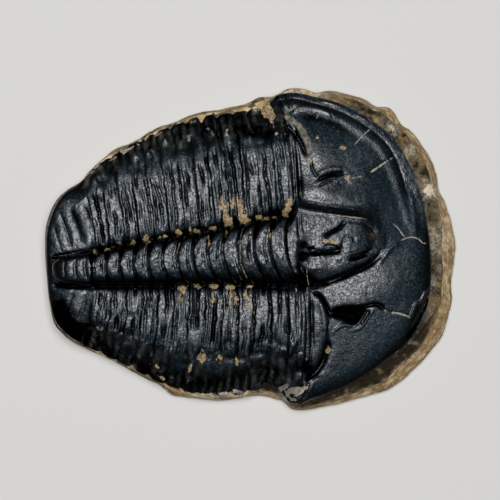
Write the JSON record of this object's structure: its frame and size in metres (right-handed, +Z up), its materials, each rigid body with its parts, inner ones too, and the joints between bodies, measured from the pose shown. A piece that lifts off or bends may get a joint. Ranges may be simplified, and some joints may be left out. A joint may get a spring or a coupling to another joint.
{
  "type": "trilobite fossil",
  "caption": "Whole ribbed trilobite fossil, domed black shield with axial lobe and broad rimmed head, lying on a thin pale matrix bed that shows as a ledge round the head.",
  "frame": {"origin": "middle of the footprint, on the surface the stone rests on", "axes": "+X from the tail towards the head, +Y to the animal's left side, +Z up"},
  "size_m": [0.0416, 0.0326, 0.007],
  "materials": {
    "exoskeleton": "satin blue-black calcite",
    "matrix": "rough cream and brown calcite"
  },
  "bodies": {
    "root": {"trilobite": "exoskeleton", "matrix": "matrix"}
  },
  "joints": []
}
